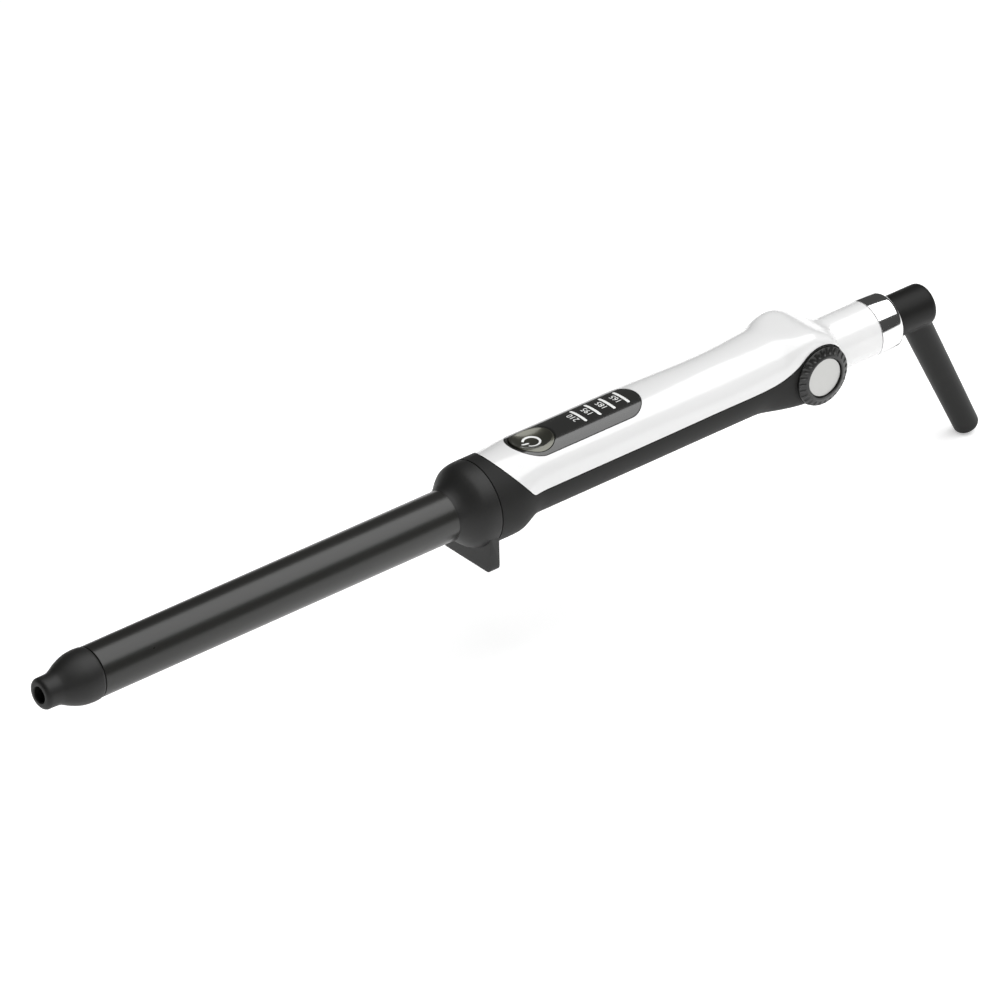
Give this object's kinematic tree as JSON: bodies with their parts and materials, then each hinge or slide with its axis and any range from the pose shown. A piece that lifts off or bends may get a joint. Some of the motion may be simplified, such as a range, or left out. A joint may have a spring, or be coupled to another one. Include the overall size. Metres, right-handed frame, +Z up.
{
  "type": "curling iron",
  "caption": "Round-barrel curling iron with a cool tip, stand foot, lamp window with a push button, side dial and swivelling cord elbow.",
  "frame": {"origin": "middle of the stand foot's flat underside", "axes": "+X along the iron from the barrel to the cord elbow, +Z up from the foot through the barrel's axis to the window, +Y to the far side dial"},
  "size_m": [0.4271, 0.0342, 0.0785],
  "materials": {
    "black_plastic": "matt, fine-grained heat-resistant moulding",
    "white_casing": "glossy white moulding",
    "barrel_coating": "satin dark ceramic coating on an aluminium tube",
    "chrome": "mirror chrome plate",
    "smoked_window": "smoked, polished, lets the lamps through",
    "silver_disc": "brushed silver",
    "button_plastic": "semi-gloss black",
    "aluminium": "extruded, bare",
    "white_ceramic": "fired alumina",
    "amber_film": "amber insulating film",
    "brown_resin": "moulded heat-resistant resin",
    "green_board": "green solder mask",
    "steel": "zinc-plated or bare spring steel",
    "brass": "bright contact brass",
    "lamp_plastic": "milky translucent moulding",
    "red_lead": "silicone sleeve",
    "blue_lead": "silicone sleeve"
  },
  "bodies": {
    "handle": {"cool_tip": "black_plastic", "front_collar": "black_plastic", "lower_casing": "black_plastic", "push_switch": "black_plastic", "controller_chip": "black_plastic", "triac": "black_plastic", "upper_casing": "white_casing", "barrel_tube": "barrel_coating", "chrome_ring": "chrome", "display_window": "smoked_window", "capacitor": "silver_disc", "heater_shoe_upper": "aluminium", "heater_shoe_lower": "aluminium", "ceramic_heater": "white_ceramic", "heater_wrap": "amber_film", "barrel_seat": "brown_resin", "tip_plug": "brown_resin", "selector_switch": "brown_resin", "brush_block": "brown_resin", "circuit_board": "green_board", "tip_screw": "steel", "casing_screw_1": "steel", "casing_screw_2": "steel", "thermal_fuse": "steel", "detent_spring": "steel", "brush_live": "brass", "brush_neutral": "brass", "thermistor": "lamp_plastic", "light_guide": "lamp_plastic", "lamp_1": "lamp_plastic", "lamp_2": "lamp_plastic", "lamp_3": "lamp_plastic", "lamp_4": "lamp_plastic", "swivel_bush": "lamp_plastic", "supply_lead_live": "red_lead", "heater_lead_live": "red_lead", "supply_lead_neutral": "blue_lead", "heater_lead_neutral": "blue_lead"},
    "button": {"power_button": "button_plastic", "switch_plunger": "lamp_plastic", "button_spring": "steel"},
    "dial": {"dial_knob_near": "black_plastic", "dial_knob_far": "black_plastic", "dial_badge_near": "silver_disc", "dial_badge_far": "silver_disc", "dial_spindle": "steel", "detent_wheel": "brass"},
    "elbow": {"cord_elbow": "black_plastic", "retaining_clip": "steel", "slip_carrier": "brown_resin", "slip_ring_outer": "brass", "slip_ring_inner": "brass"}
  },
  "joints": [
    {"name": "power_button_press", "type": "slide", "parent": "handle", "child": "button", "axis": [0, 0, -1], "range_m": [0, 0.0008], "stiffness_N_per_m": 800, "springref_m": -0.001, "deforming": ["button_spring"]},
    {"name": "temperature_dial", "type": "hinge", "parent": "handle", "child": "dial", "pos_m": [0.15065, 0, 0.022], "axis": [0, 1, 0], "range_deg": [0, 90]},
    {"name": "cord_swivel", "type": "hinge", "parent": "handle", "child": "elbow", "pos_m": [0.1945, 0, 0.022], "axis": [1, 0, 0], "continuous": true}
  ]
}
